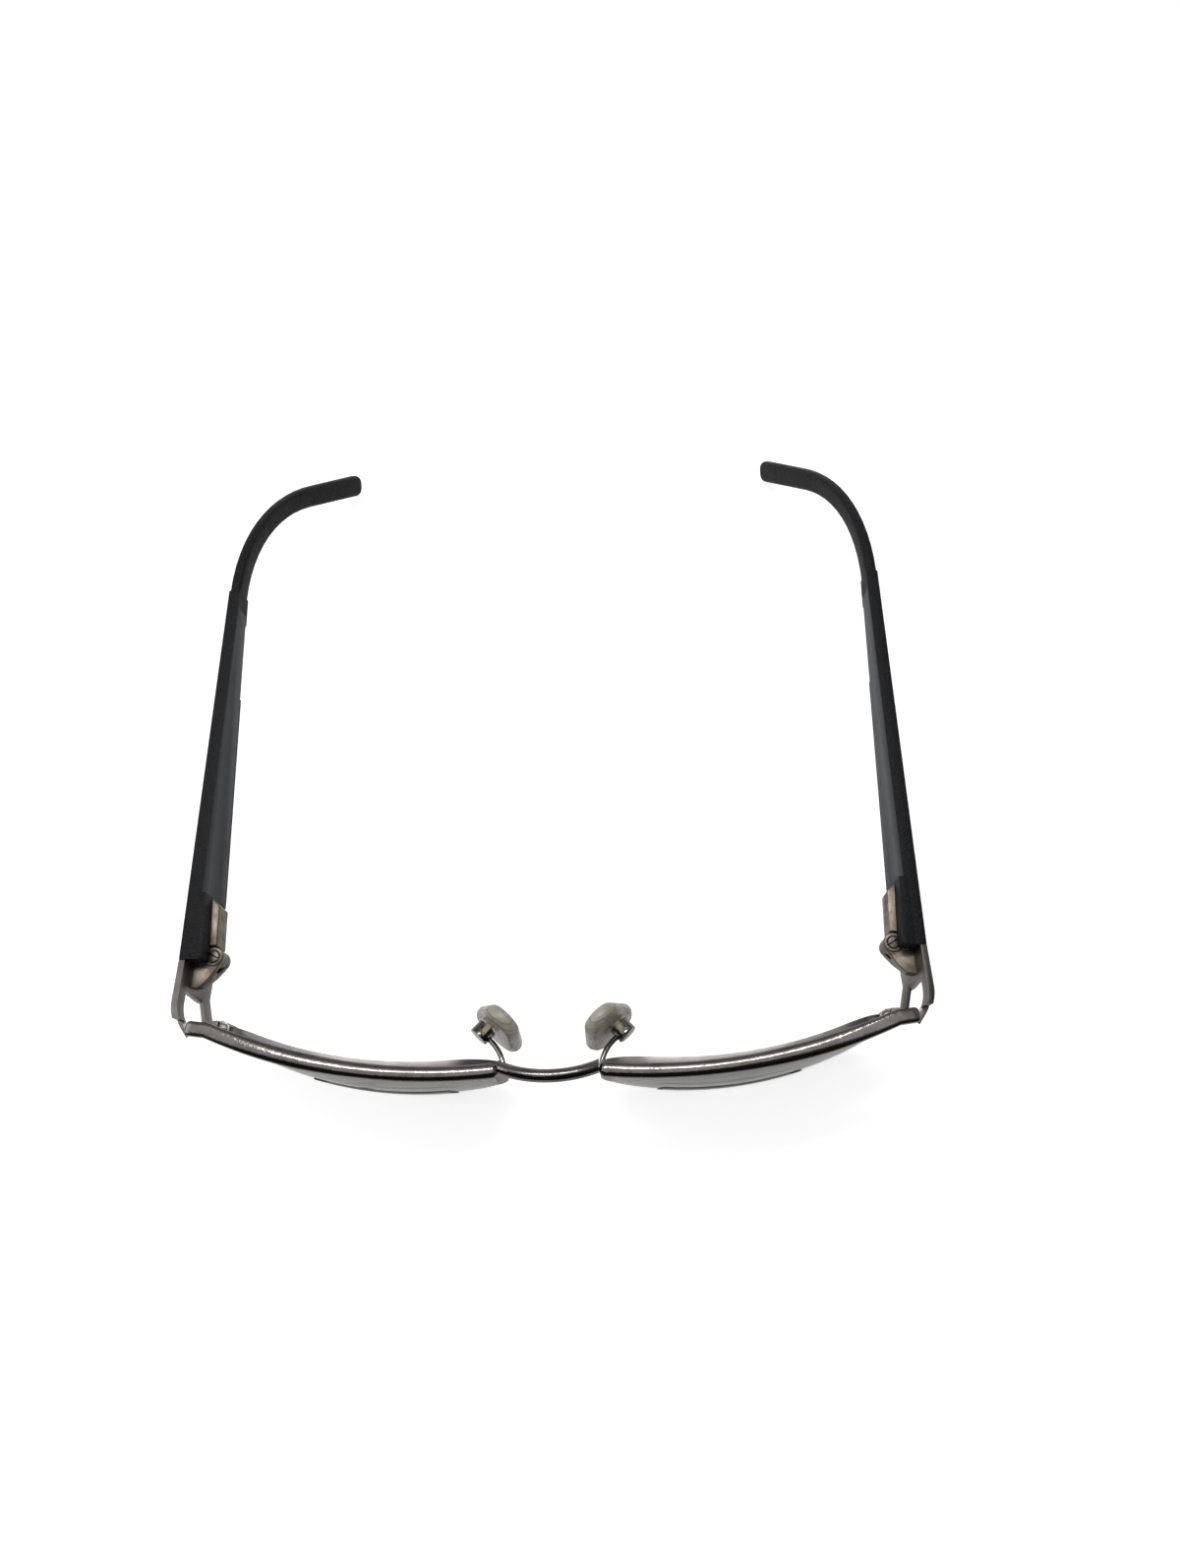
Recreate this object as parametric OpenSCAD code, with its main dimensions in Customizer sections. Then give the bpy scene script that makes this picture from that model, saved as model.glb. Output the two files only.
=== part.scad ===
// Bifocal eyeglasses: a full metal front, sprung hinges and two-layer plastic temples.
// Everything is drawn for the wearer's left side, +X, in the hinge's own frame: X out to the
// side, Y back towards the ear and Z up, with the hinge pin at Y 0 and the top of the end piece
// at Z 0. The right side is its mirror image, and the whole then stands on Z 0.

/* [Lenses] */
// Width of one lens in its rim
lens_w = 50; // [46:0.5:56]
// Height of one lens in its rim
lens_h = 29; // [25:0.5:34]
// Gap between the two lenses over the nose
nose_gap = 20.5; // [17:0.5:23]
// Thickness of a lens
lens_t = 2; // [1.5:0.1:2.2]
// Radius of the ball on which the lens and its rim lie
base_r = 72; // [66:1:120]
// Turn of each lens round the face, in degrees
wrap = 8; // [3:0.5:12]
// Forward lean of the front, in degrees
panto = 2.5; // [0:0.5:8]
// Radius of the lens's upper corner by the nose
nose_top_r = 9.5; // [6:0.5:11]
// Radius of the lens's upper corner by the temple
side_top_r = 8.5; // [6:0.5:11]
// Radius of the lens's lower corner by the temple
side_low_r = 10.5; // [8:0.5:14]
// Radius of the lens's lower corner by the nose
nose_low_r = 14; // [8:0.5:14.5]
// Radius of the lens's nearly straight edges
edge_r = 120; // [80:5:200]
// Width of the reading segment
segment_w = 28; // [22:1:30]
// Distance of the segment's flat top below the middle of the lens
segment_drop = 2.5; // [0:0.5:6]
// Shift of the segment towards the nose
segment_inset = 2; // [0:0.5:4]
// Height of the segment's ledge above the lens
segment_ledge = 0.25; // [0.1:0.05:0.4]

/* [Rims and bridge] */
// Depth of the rim from front to back
rim_depth = 1.8; // [1.6:0.1:3]
// Thickness of the rim outside the lens
rim_out = 1.3; // [1.1:0.1:1.6]
// Lip of the rim over the edge of the lens
rim_lip = 0.4; // [0.2:0.1:0.6]
// Width of the groove in which the lens sits
groove_w = 1; // [0.8:0.1:1.4]
// Depth of that groove
groove_d = 0.5; // [0.3:0.1:0.7]
// Depth of the brow bar from front to back
brow_depth = 3; // [2.2:0.1:3.6]
// Height of the brow bar
brow_h = 1.9; // [1.4:0.1:2.6]
// Depth of the brow bar at its ends
brow_end_depth = 2.7; // [2:0.1:3]
// Distance of the brow bar's inner end from the middle of the face
brow_start = 8.8; // [7:0.1:10]
// Radius of the brow bar's bend round the face
brow_r = 105; // [80:1:140]
// Radius of the brow bar's upward arch
brow_arch_r = 400; // [120:5:600]
// Diameter of the bridge rod
bridge_d = 2.3; // [1.8:0.1:3]
// Forward bow of the bridge
bridge_bow = 1.8; // [1:0.1:4]
// Rise of the bridge's middle
bridge_rise = 1.5; // [0:0.1:3]

/* [Rim lock] */
// Diameter of the rim lock's barrel
lock_d = 3.2; // [3:0.1:5]
// Height of each half of the rim lock
lock_half_h = 2.85; // [2.2:0.05:3.4]
// Height of the lock's slit
lock_slit = 0.3; // [0.2:0.05:0.5]
// Diameter of the lock's screw
lock_screw_d = 1.3; // [1:0.1:1.5]
// Diameter of that screw's head
lock_head_d = 2.1; // [1.8:0.1:2.4]

/* [End piece] */
// Half the width over the end pieces
half_width = 67.8; // [64:0.1:74]
// Height of the end piece
plate_h = 11; // [9:0.5:13]
// Thickness of the end piece
plate_t = 1.2; // [1.1:0.1:1.7]
// Inward lean of the temple, in degrees
lean = 4.5; // [0:0.5:8]
// Inward lean of the end piece, in degrees
plate_lean = 9; // [2:0.5:11]
// Outward turn of the end piece, in degrees
plate_splay = 2.5; // [0:0.5:4]
// Length of the end piece's closed part
plate_len = 6; // [5:0.25:8]
// Height of the upper strap in front of the window
strap_h = 2.4; // [2.1:0.1:3.4]
// Height of the lower strap
low_strap_h = 2.8; // [2:0.1:3.2]
// Thickness of the lower strap
low_strap_t = 0.8; // [0.7:0.1:1.3]
// Straight length of the upper strap before its corner
strap_run = 1.3; // [0.5:0.1:3]
// Radius of the strap's corner, at its middle
strap_r = 7.2; // [6:0.1:8]
// Turn of the strap round its corner, in degrees
strap_turn = 38; // [34:1:46]
// Straight length of the strap behind its corner
strap_tip = 2; // [1.5:0.1:2.5]
// Inward bend of the lower strap
low_strap_in = 1.8; // [0:0.1:2.4]
// Slant of the window's rear edge
window_slant = 0.9; // [0:0.1:1.6]

/* [Hinge] */
// Distance of the hinge pin inside the end piece's outer face
pin_in = 5; // [4.8:0.1:5.6]
// Radius of the hinge barrel
barrel_r = 1.85; // [1.6:0.05:2.1]
// Height of the hinge
hinge_h = 4.7; // [4:0.1:6]
// Distance of the hinge's top below the end piece's top
hinge_down = 3.3; // [2.9:0.1:4]
// Thickness of the sprung tongue
tongue_t = 1.6; // [1.2:0.1:2]
// Diameter of the hinge screw
pin_d = 1.2; // [1:0.1:1.4]
// Diameter of the hinge screw's head
pin_head_d = 2.2; // [1.9:0.1:2.4]
// Travel of the sprung hinge
flex_travel = 1.5; // [0.5:0.1:2]

/* [Spring case] */
// Width of the spring case
case_w = 3.4; // [3.1:0.1:3.6]
// Height of the spring case
case_h = 4.9; // [4:0.1:5.4]
// Length from the hinge pin to the case's rear end
case_len = 11.6; // [11:0.1:14]
// Diameter of the hole in which the spring runs
spring_hole_d = 2; // [1.8:0.05:2.2]
// Diameter of the spring's rod
rod_d = 1; // [0.8:0.05:1.1]

/* [Temples] */
// Length of the straight part behind the hinge pin
straight_len = 78; // [70:0.5:90]
// Thickness of the temple at the spring case
temple_front_t = 4.1; // [3.9:0.1:4.6]
// Thickness of the temple just behind the spring case
temple_t = 2.7; // [2.5:0.1:3.2]
// Thickness of the temple where the hook starts
temple_end_t = 2.4; // [2.3:0.1:2.9]
// Thickness of the inner layer
liner_t = 0.75; // [0.5:0.05:1]
// Height of the temple where the hook starts
temple_end_h = 4.3; // [3.6:0.1:5.5]
// Radius of the hook
hook_r = 49; // [35:1:60]
// Turn of the hook, in degrees
hook_turn = 48.5; // [35:0.5:60]
// Length of the tip behind the hook
tip_len = 21; // [14:0.5:28]
// Height of the tip
tip_h = 5; // [4:0.1:6.5]
// Thickness of the tip
tip_t = 3; // [2.5:0.1:3.6]
// Height of the metal core
core_h = 2.6; // [1.6:0.1:3]
// Thickness of the metal core
core_t = 0.8; // [0.5:0.05:1]

/* [Nose pads] */
// Distance of the pad's screw from the middle of the face
pad_x = 12.7; // [11:0.1:15]
// Distance of the pad's screw behind the middle of the lens
pad_back = 8.5; // [6:0.1:11]
// Height of the pad's screw above the middle of the lens
pad_up = 5; // [2:0.1:8]
// Turn of the pad from the side towards the front, in degrees
pad_splay = 47; // [30:1:52]
// Lean of the pad's top towards the nose, in degrees
pad_lean = 10; // [6:1:24]
// Radius of the pad's upper end
pad_top_r = 3.8; // [3:0.1:4.5]
// Radius of the pad's lower end
pad_low_r = 5.4; // [3.5:0.1:6]
// Height of the pad
pad_h = 15.6; // [12:0.2:16]
// Thickness of the pad
pad_t = 2.8; // [2.2:0.1:3.2]
// Diameter of the pad's cup
cup_d = 3.9; // [3.6:0.1:4.6]
// Height of the pad's cup
cup_h = 2.5; // [2.2:0.1:3]
// Diameter of the pad arm's wire
arm_d = 1; // [0.9:0.05:1.4]

/* [Hidden] */

// Fits and small steps that many pieces share
run_gap = 0.05;
seat_gap = 0.02;
over = 1;
round_fn = 48;
ball_fn = 220;
far = 60;

// Middle of a lens: to the side, ahead of the hinge pin and below the end piece's top
lens_x = nose_gap / 2 + lens_w / 2;
lens_ahead = 21.5;
brow_level = 0.35;
rim_top = lens_h / 2 + rim_out;
lens_down = rim_top * cos(panto) + (base_r - sqrt(base_r * base_r - rim_top * rim_top)) * sin(panto)
    + brow_h / 2 - brow_level;

// Centre of the ball on which the front of this side lies
ball = [
    lens_x - base_r * cos(panto) * sin(wrap),
    base_r * cos(panto) * cos(wrap) - lens_ahead,
    base_r * sin(panto) - lens_down,
];

// Place, in the hinge's frame, of a point u out and v up from the lens's middle at ball radius r
function on_ball(u, v, r) =
    let (w = sqrt(r * r - u * u - v * v))
    let (f = v * sin(panto) + w * cos(panto))
    ball + [
        u * cos(wrap) + f * sin(wrap),
        u * sin(wrap) - f * cos(wrap),
        v * cos(panto) - w * sin(panto),
    ];

// Height of the end piece's top above the table, and the middle of the whole length
plate_top = -on_ball(0, -lens_h / 2 - rim_out, base_r + rim_depth / 2)[2];
bridge_y = -0.2 - lens_ahead;
front_y = bridge_y - bridge_bow - bridge_d / 2;

// Lens outline: four corner circles [x, y, radius], joined by four arcs of edge_r
function arc_rise(chord, r) =
    let (q = edge_r - r)
    q - sqrt(q * q - chord * chord / 4);
nose_u = lens_w / 2 - arc_rise(lens_h - nose_top_r - nose_low_r, nose_low_r);
side_u = lens_w / 2 - arc_rise(lens_h - side_top_r - side_low_r, side_low_r);
top_v = lens_h / 2 - arc_rise(lens_w - nose_top_r - side_top_r, side_top_r);
low_v = lens_h / 2 - arc_rise(lens_w - nose_low_r - side_low_r, side_low_r);
corners = [
    [nose_top_r - nose_u, top_v - nose_top_r, nose_top_r],
    [side_u - side_top_r, top_v - side_top_r, side_top_r],
    [side_u - side_low_r, side_low_r - low_v, side_low_r],
    [nose_low_r - nose_u, nose_low_r - low_v, nose_low_r],
];

// Centre of the arc that touches corner circles a and b from outside
function arc_centre(a, b) =
    let (v = [b[0] - a[0], b[1] - a[1]])
    let (gap = norm(v))
    let (ra = edge_r - a[2])
    let (rb = edge_r - b[2])
    let (along = (ra * ra - rb * rb + gap * gap) / (2 * gap))
    let (side = sqrt(ra * ra - along * along))
    [a[0], a[1]] + v * along / gap + [v[1], -v[0]] * side / gap;

// Direction of v, in degrees clockwise from straight up, and n points of an arc from a to b
function heading(v) = atan2(v[0], v[1]);
function arc_points(o, r, a, b, n) =
    let (sweep = ((b - a) % 360 + 360) % 360)
    [for (i = [0:n - 1])
        let (t = a + sweep * i / n)
        o + r * [sin(t), cos(t)]];

module eye_shape(d) {
    centres = [for (k = [0:3]) arc_centre(corners[k], corners[(k + 1) % 4])];
    polygon([
        for (k = [0:3])
            let (c = [corners[k][0], corners[k][1]])
            let (next = [corners[(k + 1) % 4][0], corners[(k + 1) % 4][1]])
            let (before = heading(c - centres[(k + 3) % 4]))
            let (after = heading(c - centres[k]))
            for (p = concat(
                arc_points(c, corners[k][2] + d, before, after, 12),
                arc_points(centres[k], edge_r + d, after, heading(next - centres[k]), k % 2 == 0 ? 10 : 5)
            )) p
    ]);
}

// Rear and front edge of the end piece's closed part
plate_back = 1.45;
plate_front = plate_back + plate_len;

// Middle line of the brow bar at x: an arc to its knee, then straight to its end on the strap
brow_side = 20;
brow_end = half_width - plate_t / 2 - strap_r * (1 - cos(strap_turn)) - strap_tip * sin(strap_turn) + 0.8;
brow_end_y = -plate_front - strap_run - strap_r * sin(strap_turn) - strap_tip * cos(strap_turn) + 1;
brow_knee = min(lens_x + lens_w / 2 + 1, brow_end - 3);
function brow_arc(x) = brow_r - lens_ahead - 1.25 - sqrt(brow_r * brow_r - pow(x - brow_side, 2));
function brow_point(x) =
    let (on_arc = min(x, brow_knee))
    let (slope = (brow_end_y - brow_arc(brow_knee)) / (brow_end - brow_knee))
    [
        x,
        brow_arc(on_arc) + slope * (x - on_arc),
        brow_level - pow(x - lens_x, 2) / (2 * brow_arch_r),
    ];

// Moves and shapes that several pieces use
module sided(s) {
    mirror([s < 0 ? 1 : 0, 0, 0])
        translate([0, -origin_back, plate_top])
            children();
}

module eye_frame() {
    translate(ball)
        rotate([90 + panto, 0, wrap])
            children();
}

module leaning() {
    translate([half_width, 0, 0])
        rotate([0, lean, 0])
            translate([-half_width, 0, 0])
                children();
}

// The end piece's own frame: it leans more than the temple and opens outward to the front
module plate_space() {
    translate([half_width, -plate_back, 0])
        rotate([0, plate_lean, plate_splay])
            translate([-half_width, plate_back, 0])
                children();
}

// Plan place, in the plate's own frame, of a point of the hinge frame
function on_plate(p) =
    let (q = p - [half_width, -plate_back, 0])
    let (out = q[0] * cos(plate_splay) + q[1] * sin(plate_splay))
    [
        half_width + out * cos(plate_lean) - q[2] * sin(plate_lean),
        q[1] * cos(plate_splay) - q[0] * sin(plate_splay) - plate_back,
    ];

module shell(depth) {
    difference() {
        sphere(base_r + depth / 2, $fn = ball_fn);
        sphere(base_r - depth / 2, $fn = ball_fn);
    }
}

module eye_prism(d) {
    translate([0, 0, base_r - 12])
        linear_extrude(20)
            eye_shape(d);
}

module eye_slab(depth, d) {
    intersection() {
        shell(depth);
        eye_prism(d);
    }
}

// Block between two corners
module block(low, high) {
    translate(low)
        cube(high - low);
}

// Ring of n points round p, ra along a and rb along b; power under 1 squares it
function bent(x, power) = sign(x) * pow(abs(x), power);
function ring(p, a, b, ra, rb, n, power = 1) =
    [for (i = [0:n - 1]) p + a * ra * bent(cos(360 * i / n), power) + b * rb * bent(sin(360 * i / n), power)];
function unit(v) = v / norm(v);

// Closed skin over rings of equal counts
module loft(rings) {
    n = len(rings[0]);
    m = len(rings);
    points = [for (r = rings) for (p = r) p];
    sides = [for (j = [0:m - 2]) for (i = [0:n - 1])
        let (k = (i + 1) % n)
        for (f = [[j * n + i, (j + 1) * n + k, (j + 1) * n + i], [j * n + i, j * n + k, (j + 1) * n + k]]) f];
    caps = [[for (i = [n - 1:-1:0]) i], [for (i = [0:n - 1]) (m - 1) * n + i]];
    polyhedron(points, concat(sides, caps));
}

// Lens rims
module eyewire(s) {
    color("dimgray")
        sided(s)
            eye_frame()
                difference() {
                    eye_slab(rim_depth, rim_out);
                    eye_prism(-rim_lip);
                    eye_slab(groove_w, groove_d);
                    block([lens_w / 4, lock_v - lock_slit / 2, 0], [lens_w, lock_v + lock_slit / 2, base_r + 20]);
                }
}

module brow_bar(s) {
    count = 26;
    first = brow_start - over;
    last = brow_end - brow_cap;
    spine = [for (i = [0:count]) brow_point(first + (last - first) * i / count)];
    function along(i) = unit(spine[min(i + 1, count)] - spine[max(i - 1, 0)]);
    function section(p, a, depth, k) =
        let (out = unit(cross(a, [0, 0, 1])))
        ring(p, out, cross(out, a), k * depth / 2, k * brow_half, 14, 0.8);
    rings = [for (i = [0:count])
        let (mid = max(0, 1 - abs(i / count - 0.68) / 0.3))
        section(spine[i], along(i), brow_end_depth + (brow_depth - brow_end_depth) * mid, 1)];
    cap = [for (a = [35, 62, 82])
        section(spine[count] + along(count) * brow_cap * sin(a), along(count), brow_end_depth, pow(cos(a), 0.6))];
    color("gray")
        sided(s)
            difference() {
                loft(concat(rings, cap));
                block([0, -far, -10], [brow_start, 0, 10]);
            }
}
brow_cap = 0.9;
brow_half = brow_h / 2 - 2 * run_gap;

module bridge() {
    half = brow_start - seat_gap;
    bow = norm([bridge_bow, bridge_rise]);
    r = (half * half + bow * bow) / (2 * bow);
    sweep = asin(half / r) + 3;
    color("gray")
        intersection() {
            translate([0, bridge_y - origin_back, plate_top + brow_level - 0.7])
                rotate([-atan2(bridge_rise, bridge_bow), 0, 0])
                    translate([0, r - bow, 0])
                        rotate([0, 0, -90 - sweep])
                            rotate_extrude(angle = 2 * sweep, $fn = 360)
                                translate([r, 0])
                                    circle(d = bridge_d, $fn = round_fn);
            translate([-half, -origin_back - far, 0])
                cube([2 * half, far, far]);
        }
}

// Lens with the raised reading segment on its front
module lens(s) {
    seg_r = segment_w / 2;
    color([0.75, 0.8, 0.82, 0.5])
        sided(s)
            eye_frame() {
                eye_slab(lens_t, -rim_lip - seat_gap);
                eye_slab(groove_w - 2 * seat_gap, groove_d - seat_gap);
                intersection() {
                    difference() {
                        sphere(base_r + lens_t / 2 + segment_ledge, $fn = ball_fn);
                        sphere(base_r, $fn = ball_fn);
                    }
                    eye_prism(-rim_lip - seat_gap);
                    translate([-segment_inset, -segment_drop - segment_low, base_r - 12])
                        cylinder(r = seg_r, h = 20, $fn = 96);
                    block([-lens_w, -lens_h, base_r - 12], [lens_w, -segment_drop, base_r + 8]);
                }
            }
}
segment_low = 5;

// Rim lock: two half barrels on the rim's outer side, drawn together by a screw
lock_u = lens_w / 2 + rim_out + lock_screw_d / 2 + 0.1;
lock_v = lens_down - plate_h - lock_slit / 2;
lock_w = sqrt(base_r * base_r - lock_u * lock_u - lock_v * lock_v);
lock_head_h = 0.7;

module lock_barrel(grow) {
    translate([lock_u, lock_v, lock_w])
        rotate([90, 0, 0])
            cylinder(d = lock_d + 2 * grow, h = lock_slit + 2 * lock_half_h + 2 * grow, center = true, $fn = round_fn);
}

module lock_bore(d, low, high) {
    translate([lock_u, low, lock_w])
        rotate([-90, 0, 0])
            cylinder(d = d, h = high - low, $fn = round_fn);
}

module rim_lock(s) {
    top = lock_v + lock_slit / 2 + lock_half_h;
    color("gray")
        sided(s)
            eye_frame()
                difference() {
                    lock_barrel(0);
                    eye_slab(rim_depth + 2 * seat_gap, rim_out + seat_gap);
                    block([0, lock_v - lock_slit / 2, 0], [lens_w, lock_v + lock_slit / 2, base_r + 20]);
                    lock_bore(lock_screw_d + 2 * seat_gap, lock_v - 2 * lock_half_h, top + over);
                    lock_bore(lock_head_d + 2 * seat_gap, top - lock_head_h, top + over);
                }
}

module lock_screw(s) {
    low = lock_v - lock_slit / 2 - lock_half_h;
    top = lock_v + lock_slit / 2 + lock_half_h;
    color("silver")
        sided(s)
            eye_frame()
                difference() {
                    union() {
                        lock_bore(lock_screw_d, low, top - lock_head_h + seat_gap);
                        lock_bore(lock_head_d, top - lock_head_h + seat_gap, top);
                    }
                    translate([lock_u, top, lock_w])
                        cube([lock_head_d + over, 0.5, 0.35], center = true);
                }
}

// End piece: a leaning plate that forks round a window into an upper and a lower strap
pin_x = half_width - pin_in;
strap_mid = half_width - plate_t / 2;
toe_w = 1.4;

module upper_strap() {
    bend = [strap_mid - strap_r, -plate_front - strap_run];
    outer = strap_r + plate_t / 2;
    inner = strap_r - plate_t / 2;
    turns = [for (i = [0:24]) -strap_turn * i / 24];
    last = [cos(strap_turn), -sin(strap_turn)];
    tip = -strap_tip * [sin(strap_turn), cos(strap_turn)];
    translate([0, 0, -strap_h])
        linear_extrude(strap_h)
            polygon(concat(
                [[half_width - plate_t, -plate_front + over / 2], [half_width, -plate_front + over / 2]],
                [for (t = turns) bend + outer * [cos(t), sin(t)]],
                [bend + outer * last + tip, bend + inner * last + tip],
                [for (i = [24:-1:0]) bend + inner * [cos(turns[i]), sin(turns[i])]]
            ));
}

// Seat of the brow bar's end, cut into the upper strap
module bar_seat() {
    p = brow_point(brow_end - 1);
    q = brow_point(brow_end);
    translate([p[0], p[1], q[2] - brow_half - 2 * seat_gap])
        rotate([0, 0, atan2(q[1] - p[1], q[0] - p[0])])
            block([-9, -9, 0], [9, brow_end_depth / 2 + seat_gap, 9]);
}

module end_piece(s) {
    inner = half_width - plate_t;
    foot = on_plate(on_ball(lock_u, lock_v, base_r));
    bent_in = inner - low_strap_in;
    toe_in = min(bent_in, foot[0]);
    toe_out = max(bent_in + low_strap_t, foot[0]);
    color("slategray")
        sided(s)
            difference() {
                plate_space() {
                    upper_strap();
                    translate([inner, 0, 0])
                        rotate([90, 0, 90])
                            linear_extrude(plate_t)
                                polygon([
                                    [-plate_back, 0],
                                    [-plate_front, 0],
                                    [-plate_front, -strap_h],
                                    [-plate_front + window_slant, -strap_h],
                                    [-plate_front, low_strap_h - plate_h],
                                    [-plate_front, -plate_h],
                                    [-plate_back, -plate_h],
                                ]);
                    translate([0, 0, -plate_h])
                        linear_extrude(low_strap_h)
                            polygon([
                                [inner, -plate_front + over],
                                [inner + low_strap_t, -plate_front + over],
                                [bent_in + low_strap_t, foot[1]],
                                [bent_in, foot[1]],
                            ]);
                    block([toe_in, foot[1], -plate_h], [toe_out, foot[1] + toe_w, low_strap_h - plate_h]);
                }
                bar_seat();
                eye_frame()
                    lock_barrel(seat_gap);
            }
}

// Hinge leaf: two knuckles with the tongue's slot between them, soldered inside the plate
hinge_top = -hinge_down;
hinge_low = -hinge_down - hinge_h;
tongue_mid = (hinge_top + hinge_low) / 2;
slot_r = 2.7;
pin_head_h = 0.6;

module pin_bore(d, low, high) {
    translate([pin_x, 0, low])
        cylinder(d = d, h = high - low, $fn = round_fn);
}

// Wing of the leaf between two heights; k scales how far forward it runs
module leaf_wing(low, high, k) {
    face = half_width - plate_t;
    translate([0, 0, low])
        linear_extrude(high - low)
            polygon([
                [pin_x - barrel_r * cos(40), -barrel_r * sin(40)],
                [pin_x + 0.4, -4.1 * k],
                [pin_x + 1.7, -5.5 * k],
                [face + over, -6.2 * k],
                [face + over, -plate_back - 0.15],
                [pin_x + 0.8, -plate_back - 0.15],
                [pin_x, -barrel_r / 2],
            ]);
}

module hinge_leaf(s) {
    color("rosybrown")
        sided(s)
            difference() {
                union() {
                    leaf_wing(tongue_mid, hinge_top, 1);
                    leaf_wing(hinge_low, tongue_mid + seat_gap, 0.8);
                }
                plate_space()
                    block([half_width - plate_t - seat_gap, -20, -20], [half_width + 10, 20, 20]);
                pin_bore(2 * barrel_r + 2 * seat_gap, hinge_low - over, hinge_top + over);
                tongue_slot();
            }
}

module tongue_slot() {
    pin_bore(2 * slot_r, tongue_mid - tongue_t / 2 - run_gap, tongue_mid + tongue_t / 2 + run_gap);
}

// Two knuckles on the leaf's edge, with the tongue's slot between them
module hinge_knuckle(s) {
    color("rosybrown")
        sided(s)
            difference() {
                pin_bore(2 * barrel_r, hinge_low, hinge_top);
                pin_bore(pin_d + 2 * seat_gap, hinge_low - over, hinge_top + over);
                pin_bore(pin_head_d + 2 * seat_gap, hinge_top - pin_head_h, hinge_top + over);
                tongue_slot();
            }
}

module hinge_screw(s) {
    color("silver")
        sided(s)
            difference() {
                union() {
                    pin_bore(pin_d, hinge_low, hinge_top - pin_head_h + seat_gap);
                    pin_bore(pin_head_d, hinge_top - pin_head_h + seat_gap, hinge_top);
                }
                translate([pin_x, 0, hinge_top])
                    rotate([0, 0, 30])
                        cube([pin_head_d + over, 0.35, 0.5], center = true);
            }
}

// Sprung tongue: its rod runs back through the spring and is held by a nut
rod_x = pin_x + 1.1;
nut_t = 1.2;
stop_front = 2.5;
stop_t = 0.85;
spring_solid = 3.55;
rod_end = stop_front + stop_t + spring_solid + flex_travel + nut_t;
hole_end = rod_end + 0.15;

module along_rod(d, low, high) {
    translate([rod_x, low, tongue_mid])
        rotate([-90, 0, 0])
            cylinder(d = d, h = high - low, $fn = round_fn);
}

module flex_tongue(s) {
    color("silver")
        sided(s)
            difference() {
                union() {
                    pin_bore(2 * barrel_r - 2 * run_gap, tongue_mid - tongue_t / 2, tongue_mid + tongue_t / 2);
                    along_rod(rod_d, 0.6, rod_end);
                }
                pin_bore(pin_d + 2 * run_gap, hinge_low, hinge_top);
            }
}

module flex_nut(s) {
    color("gold")
        sided(s)
            difference() {
                along_rod(spring_hole_d - 2 * run_gap, rod_end - nut_t, rod_end);
                along_rod(rod_d + 2 * seat_gap, rod_end - nut_t - over, rod_end + over);
            }
}

module flex_spring(s) {
    color("lightgray")
        sided(s)
            difference() {
                along_rod(spring_hole_d - 0.2, stop_front + stop_t + seat_gap, rod_end - nut_t - seat_gap);
                along_rod(rod_d + 0.2, 0, rod_end);
            }
}

module flex_stop(s) {
    color("gold")
        sided(s)
            difference() {
                along_rod(spring_hole_d - 2 * seat_gap, stop_front, stop_front + stop_t);
                along_rod(rod_d + 2 * run_gap, 0, rod_end);
            }
}

// Spring case with its slanted rear end
case_top = hinge_top + 0.3;
case_low = case_top - case_h;
case_in = rod_x - case_w / 2;
case_front = barrel_r + 0.12;
case_slant = 2.3;

module case_body(grow) {
    translate([0, 0, case_low - grow])
        linear_extrude(case_h + 2 * grow)
            polygon([
                [case_in - grow, case_front - grow],
                [case_in + case_w + grow, case_front - grow],
                [case_in + case_w + grow, case_len + grow],
                [case_in + case_slant + grow, case_len + grow],
                [case_in + 0.4 - grow, case_len - case_slant * 0.8 + grow],
            ]);
}

module spring_case(s) {
    color("tan")
        sided(s)
            difference() {
                case_body(0);
                along_rod(spring_hole_d, 0, hole_end);
            }
}

// Temple: a blade with a hook, in the leaning frame
low_start = case_len + 1;
temple_front = plate_back - 2 * run_gap;
split_x = half_width - temple_t + liner_t;
split_end_x = half_width - temple_end_t + liner_t;
bed_end = case_len - 0.2;
lip = 0.4;
end_steps = 5;

// Outline of the blade seen from the side, as points [y, z], shrunk by d
function side_outline(front, back, d) =
    let (fall = (plate_h - temple_end_h) / (straight_len - low_start))
    [
        [front, -d],
        [back, -d],
        [back, d - plate_h + fall * (back - low_start)],
        [max(front, low_start), d - plate_h + fall * (max(front, low_start) - low_start)],
        [front, d - plate_h + fall * (max(front, low_start) - low_start)],
    ];

module blade(front, back, d, plan) {
    intersection() {
        translate([half_width - 12, 0, 0])
            rotate([90, 0, 90])
                linear_extrude(24)
                    polygon(side_outline(front, back, d));
        translate([0, 0, -20])
            linear_extrude(40)
                polygon(plan);
    }
}

// Hook: bend in a plane that leans from level, then a straight tip
hook_x = half_width - temple_end_t / 2;
hook_z = -temple_end_h / 2;
hook_arc = hook_r * hook_turn * PI / 180;
hook_reach = hook_r * (1 - cos(hook_turn)) + tip_len * sin(hook_turn);
tip_sag = 0.38 * tip_h + 0.05;
hook_plane = asin((plate_top + hook_z - tip_sag) / hook_reach) + lean;
hook_down = [-cos(hook_plane), 0, -sin(hook_plane)];
hook_axis = [-sin(hook_plane), 0, cos(hook_plane)];

function hook_angle(t) = min(t / hook_arc, 1) * hook_turn;
function hook_point(t) =
    let (a = hook_angle(t))
    let (rest = max(0, t - hook_arc))
    [hook_x, straight_len, hook_z]
    + [0, 1, 0] * (hook_r * sin(a) + rest * cos(a))
    + hook_down * (hook_r * (1 - cos(a)) + rest * sin(a));

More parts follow.
